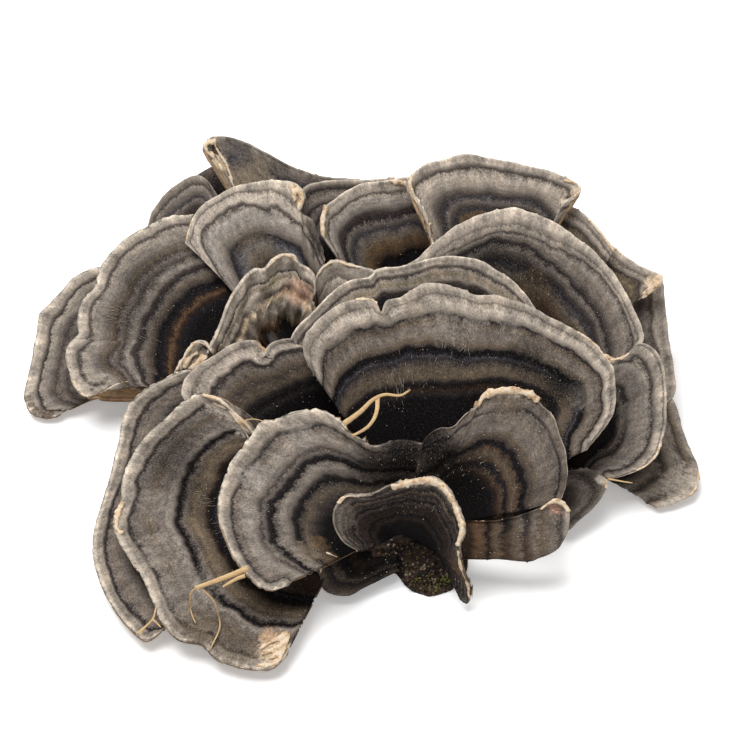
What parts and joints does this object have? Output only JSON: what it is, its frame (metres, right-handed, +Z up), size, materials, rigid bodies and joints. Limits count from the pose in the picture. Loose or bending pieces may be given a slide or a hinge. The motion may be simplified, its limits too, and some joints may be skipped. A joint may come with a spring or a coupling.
{
  "type": "turkey tail fungus",
  "caption": "Clump of dried bracket fungus, thin zoned caps shingled over one another on a tough base that is cut flat underneath.",
  "frame": {"origin": "on the flat cut underneath, about under the middle of the clump", "axes": "+Z up from the flat cut, -Y towards the front where the small lumpy cap is, +X to the right seen from the front"},
  "size_m": [0.1364, 0.1123, 0.0427],
  "materials": {
    "cap_flesh": "matt, velvety",
    "base_flesh": "matt, rough",
    "dry_grass": "satin"
  },
  "bodies": {
    "root": {"base": "base_flesh", "cap_front_small": "cap_flesh", "cap_front_fold": "cap_flesh", "cap_front_right": "cap_flesh", "cap_front_left": "cap_flesh", "cap_front_low": "cap_flesh", "cap_right_small": "cap_flesh", "cap_left_front": "cap_flesh", "cap_left_outer": "cap_flesh", "cap_centre": "cap_flesh", "cap_centre_left": "cap_flesh", "cap_centre_back": "cap_flesh", "cap_hairy": "cap_flesh", "cap_hairy_side": "cap_flesh", "cap_left_fold": "cap_flesh", "cap_right": "cap_flesh", "cap_right_dome": "cap_flesh", "cap_upper_right": "cap_flesh", "cap_upper_middle": "cap_flesh", "cap_upper_left": "cap_flesh", "cap_right_back": "cap_flesh", "cap_right_back_low": "cap_flesh", "cap_right_strip": "cap_flesh", "cap_right_low": "cap_flesh", "cap_far_left": "cap_flesh", "cap_far_left_under": "cap_flesh", "cap_far_left_outer": "cap_flesh", "cap_top": "cap_flesh", "cap_upper_far_left": "cap_flesh", "cap_upper_left_back": "cap_flesh", "cap_upper_middle_back": "cap_flesh", "cap_behind_left": "cap_flesh", "cap_behind_middle": "cap_flesh", "cap_behind_right": "cap_flesh", "grass_blade_centre": "dry_grass", "grass_blade_left": "dry_grass"}
  },
  "joints": []
}
